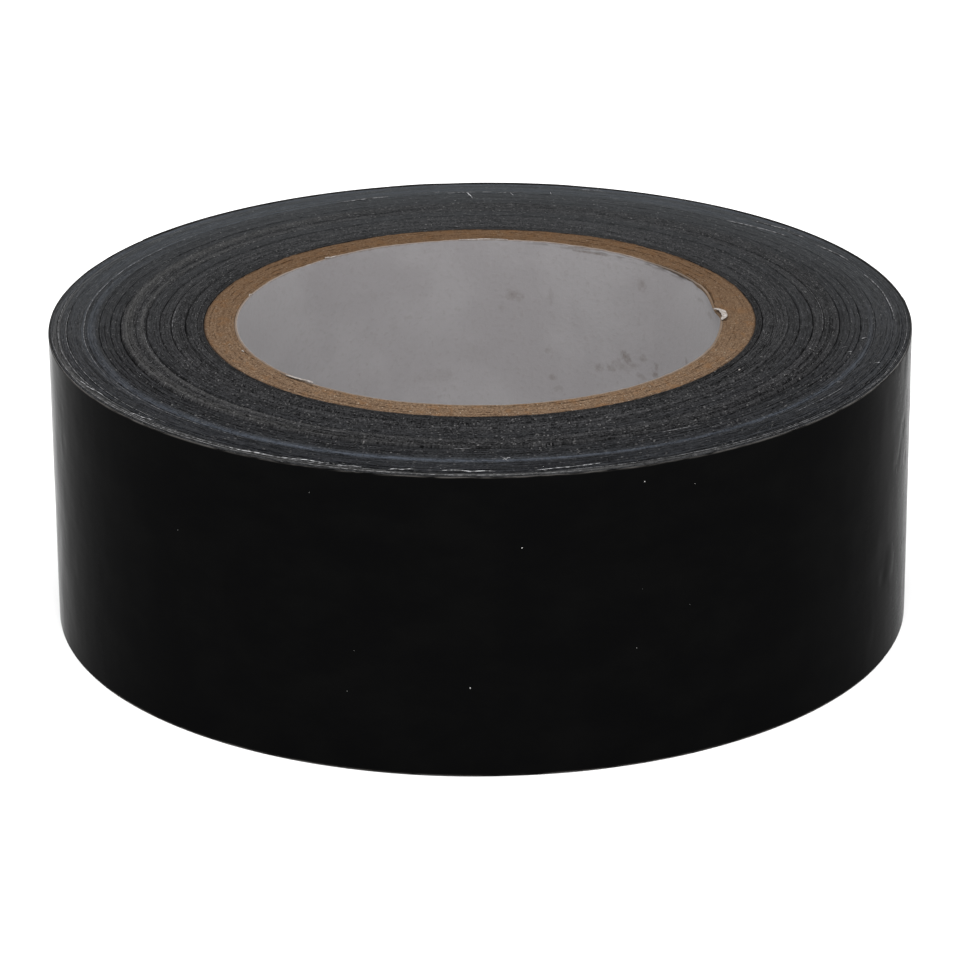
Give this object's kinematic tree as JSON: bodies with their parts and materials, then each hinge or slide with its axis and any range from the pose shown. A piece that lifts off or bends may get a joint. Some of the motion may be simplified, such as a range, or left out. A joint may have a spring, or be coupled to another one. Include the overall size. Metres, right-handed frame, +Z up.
{
  "type": "duct tape roll",
  "caption": "Roll of black cloth-backed duct tape wound on a kraft paper core, with a free end that peels away from the roll.",
  "frame": {"origin": "on the roll's axis, at the face that it rests on", "axes": "+Z up along the roll's axis; the cut edge of the tape's free end lies at 145 degrees from +X towards +Y"},
  "size_m": [0.1367, 0.1367, 0.0483],
  "materials": {
    "core_liner_paper": "matte",
    "kraft_paper": "matte",
    "wound_tape": "matte",
    "backing_film": "satin",
    "cloth_scrim": "matte",
    "adhesive": "satin"
  },
  "bodies": {
    "roll": {"core_cover_ply": "kraft_paper", "core_kraft_ply_1": "kraft_paper", "core_kraft_ply_2": "kraft_paper", "core_kraft_ply_3": "kraft_paper", "core_kraft_ply_4": "kraft_paper", "core_kraft_ply_5": "kraft_paper", "core_kraft_ply_6": "kraft_paper", "core_kraft_ply_7": "kraft_paper", "core_kraft_ply_8": "kraft_paper", "core_liner": "core_liner_paper", "last_turn_adhesive": "adhesive", "last_turn_backing_film": "backing_film", "last_turn_cloth_scrim": "cloth_scrim", "tape_turns_001_to_006": "wound_tape", "tape_turns_007_to_017": "wound_tape", "tape_turns_018_to_030": "wound_tape", "tape_turns_031_to_041": "wound_tape", "tape_turns_042_to_053": "wound_tape", "tape_turns_054_to_063": "wound_tape", "tape_turns_064_to_077": "wound_tape", "tape_turns_078_to_087": "wound_tape", "tape_turns_088_to_097": "wound_tape", "tape_turns_098_to_111": "wound_tape", "tape_turns_112_to_127": "wound_tape", "tape_turns_128_to_135": "wound_tape", "tape_turns_136_to_144": "wound_tape"},
    "free_end_1": {"free_end_1_backing_film": "backing_film", "free_end_1_cloth_scrim": "cloth_scrim", "free_end_1_adhesive": "adhesive"},
    "free_end_2": {"free_end_2_backing_film": "backing_film", "free_end_2_cloth_scrim": "cloth_scrim", "free_end_2_adhesive": "adhesive"},
    "free_end_3": {"free_end_3_backing_film": "backing_film", "free_end_3_cloth_scrim": "cloth_scrim", "free_end_3_adhesive": "adhesive"},
    "free_end_4": {"free_end_4_backing_film": "backing_film", "free_end_4_cloth_scrim": "cloth_scrim", "free_end_4_adhesive": "adhesive"}
  },
  "joints": [
    {"name": "free_end_peel_1", "type": "hinge", "parent": "roll", "child": "free_end_1", "pos_m": [-0.01543, 0.06671, 0.02408], "axis": [0, 0, -1], "range_deg": [0, 35]},
    {"name": "free_end_peel_2", "type": "hinge", "parent": "free_end_1", "child": "free_end_2", "pos_m": [-0.02732, 0.06279, 0.02408], "axis": [0, 0, -1], "range_deg": [0, 35]},
    {"name": "free_end_peel_3", "type": "hinge", "parent": "free_end_2", "child": "free_end_3", "pos_m": [-0.0383, 0.05676, 0.02408], "axis": [0, 0, -1], "range_deg": [0, 35]},
    {"name": "free_end_peel_4", "type": "hinge", "parent": "free_end_3", "child": "free_end_4", "pos_m": [-0.048, 0.04884, 0.02408], "axis": [0, 0, -1], "range_deg": [0, 35]}
  ],
  "couplings": [
    {"joint": "free_end_peel_2", "follows": "free_end_peel_1", "ratio": 1},
    {"joint": "free_end_peel_3", "follows": "free_end_peel_1", "ratio": 1},
    {"joint": "free_end_peel_4", "follows": "free_end_peel_1", "ratio": 1}
  ]
}
